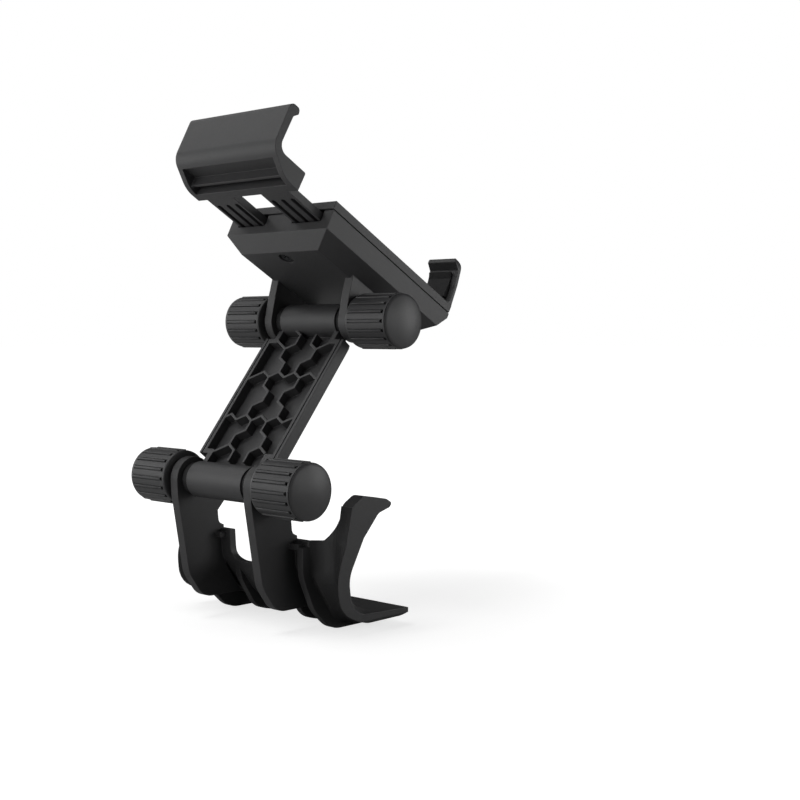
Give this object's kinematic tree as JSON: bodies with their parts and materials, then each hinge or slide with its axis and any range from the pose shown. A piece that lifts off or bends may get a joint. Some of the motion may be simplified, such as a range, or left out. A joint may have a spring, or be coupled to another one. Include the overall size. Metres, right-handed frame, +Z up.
{
  "type": "controller phone clip",
  "caption": "Phone clip for a game controller: hooked cradle, ribbed arm with a knob-tightened pivot at each end, and a sprung clamp with a sliding jaw.",
  "frame": {"origin": "middle of the flat top of the cradle's tongue, where the controller's underside rests, on the plane of symmetry", "axes": "+X along both pivot bolts, +Y into the controller, +Z up"},
  "size_m": [0.0738, 0.0882, 0.1504],
  "materials": {
    "black_plastic": "fine matte moulding texture",
    "knob_plastic": "fine matte moulding texture",
    "cap_plastic": "smooth satin",
    "black_rubber": "matte",
    "steel": "zinc plated"
  },
  "bodies": {
    "cradle": {"cradle": "black_plastic", "grip_liner_left": "black_rubber", "grip_liner_right": "black_rubber"},
    "lower_left_knob": {"lower_knob_left": "knob_plastic", "lower_cap_left": "cap_plastic", "lower_bolt": "steel"},
    "lower_right_knob": {"lower_knob_right": "knob_plastic", "lower_cap_right": "cap_plastic", "lower_nut": "steel"},
    "arm": {"arm": "black_plastic", "lower_washer_left": "black_rubber", "lower_washer_right": "black_rubber", "upper_washer_left": "black_rubber", "upper_washer_right": "black_rubber"},
    "clamp": {"clamp_back_cover": "black_plastic", "clamp_front_plate": "black_plastic", "cover_screws": "steel", "front_pad": "black_rubber", "fixed_jaw_pad_left": "black_rubber", "fixed_jaw_pad_right": "black_rubber", "spring_left": "steel", "spring_right": "steel"},
    "upper_left_knob": {"upper_knob_left": "knob_plastic", "upper_cap_left": "cap_plastic", "upper_bolt": "steel"},
    "upper_right_knob": {"upper_knob_right": "knob_plastic", "upper_cap_right": "cap_plastic", "upper_nut": "steel"},
    "jaw": {"sliding_jaw": "black_plastic", "sliding_jaw_pad": "black_rubber"}
  },
  "joints": [
    {"name": "arm_lean", "type": "hinge", "parent": "cradle", "child": "arm", "pos_m": [0, -0.031, 0.0376], "axis": [1, 0, 0], "range_deg": [-40, 100]},
    {"name": "clamp_tilt", "type": "hinge", "parent": "arm", "child": "clamp", "pos_m": [0, 0.00643, 0.08449], "axis": [1, 0, 0], "range_deg": [-80, 70]},
    {"name": "jaw_slide", "type": "slide", "parent": "clamp", "child": "jaw", "axis": [0, -0.866, 0.5], "range_m": [-0.0137, 0.0132], "stiffness_N_per_m": 250, "springref_m": -0.0258, "deforming": ["spring_left", "spring_right"]},
    {"name": "lower_left_knob_turn", "type": "hinge", "parent": "cradle", "child": "lower_left_knob", "pos_m": [0, -0.031, 0.0376], "axis": [-1, 0, 0], "range_deg": [0, 360]},
    {"name": "lower_right_knob_turn", "type": "hinge", "parent": "cradle", "child": "lower_right_knob", "pos_m": [0, -0.031, 0.0376], "axis": [1, 0, 0], "range_deg": [0, 360]},
    {"name": "upper_left_knob_turn", "type": "hinge", "parent": "clamp", "child": "upper_left_knob", "pos_m": [0, 0.00643, 0.08449], "axis": [-1, 0, 0], "range_deg": [0, 360]},
    {"name": "upper_right_knob_turn", "type": "hinge", "parent": "clamp", "child": "upper_right_knob", "pos_m": [0, 0.00643, 0.08449], "axis": [1, 0, 0], "range_deg": [0, 360]}
  ]
}
